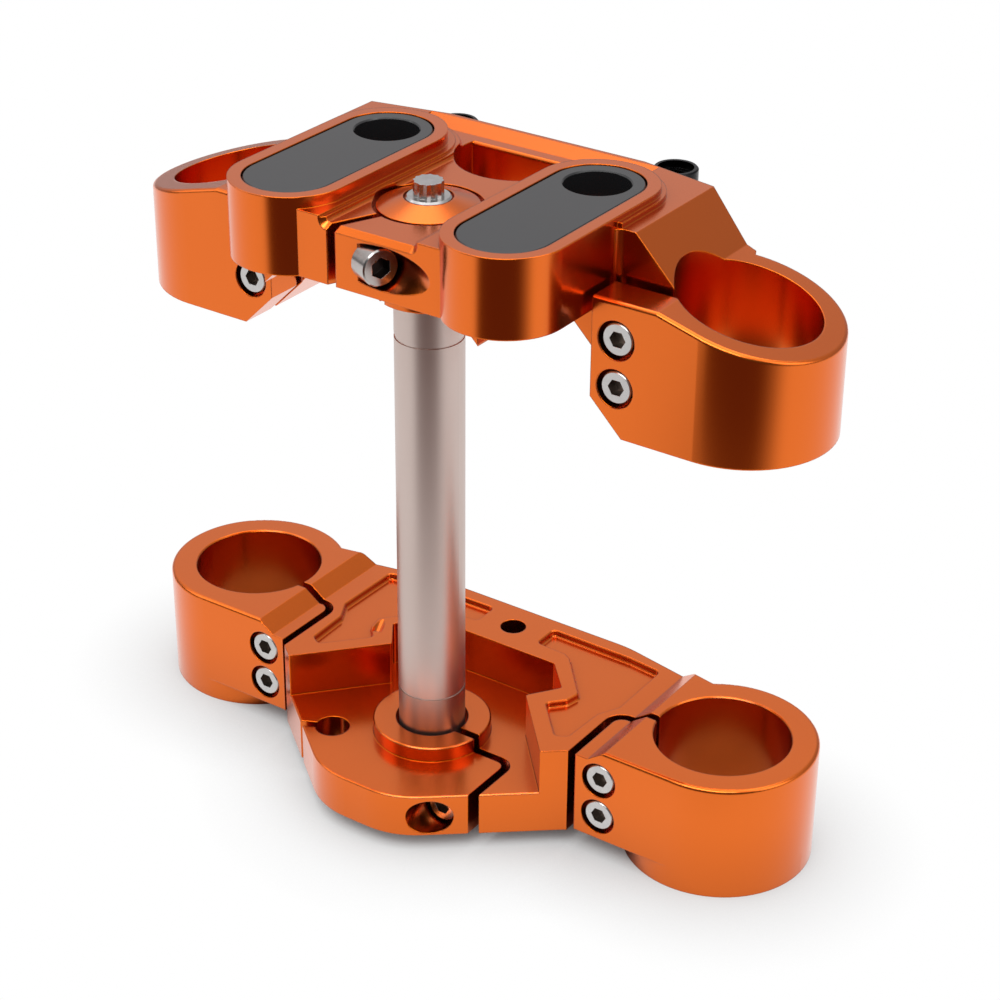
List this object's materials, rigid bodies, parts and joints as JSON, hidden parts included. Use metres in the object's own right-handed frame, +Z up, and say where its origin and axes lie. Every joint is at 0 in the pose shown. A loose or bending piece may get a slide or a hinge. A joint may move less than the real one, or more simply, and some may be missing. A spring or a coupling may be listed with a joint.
{
  "type": "motorcycle triple clamp",
  "caption": "Upper and lower fork clamps machined from billet, joined by a hollow steering stem, with split fork bores, pinch screws, a capped stem bolt and handlebar inserts.",
  "frame": {"origin": "on the steering stem's axis, in the plane of the undersides of the lower fork rings", "axes": "+Z up the steering stem, +Y forward, +X to the rider's right"},
  "size_m": [0.3444, 0.1652, 0.2943],
  "materials": {
    "orange_anodised": "orange anodised, satin",
    "ground_steel": "ground",
    "screw_steel": "plain stainless",
    "dark_steel": "darkened steel",
    "black_screw": "black oxide",
    "black_insert": "satin black"
  },
  "bodies": {
    "root": {"bar_insert_left": "black_insert", "bar_insert_right": "black_insert", "front_screw_left": "black_screw", "front_screw_right": "black_screw", "lower_clamp": "orange_anodised", "lower_fork_screw_left_lower": "screw_steel", "lower_fork_screw_left_upper": "screw_steel", "lower_fork_screw_right_lower": "screw_steel", "lower_fork_screw_right_upper": "screw_steel", "lower_stem_screw": "screw_steel", "steering_stem": "ground_steel", "stem_bolt": "screw_steel", "stem_cap": "orange_anodised", "upper_clamp": "orange_anodised", "upper_fork_screw_left_lower": "screw_steel", "upper_fork_screw_left_upper": "screw_steel", "upper_fork_screw_right_lower": "screw_steel", "upper_fork_screw_right_upper": "screw_steel", "upper_stem_screw": "dark_steel"}
  },
  "joints": []
}
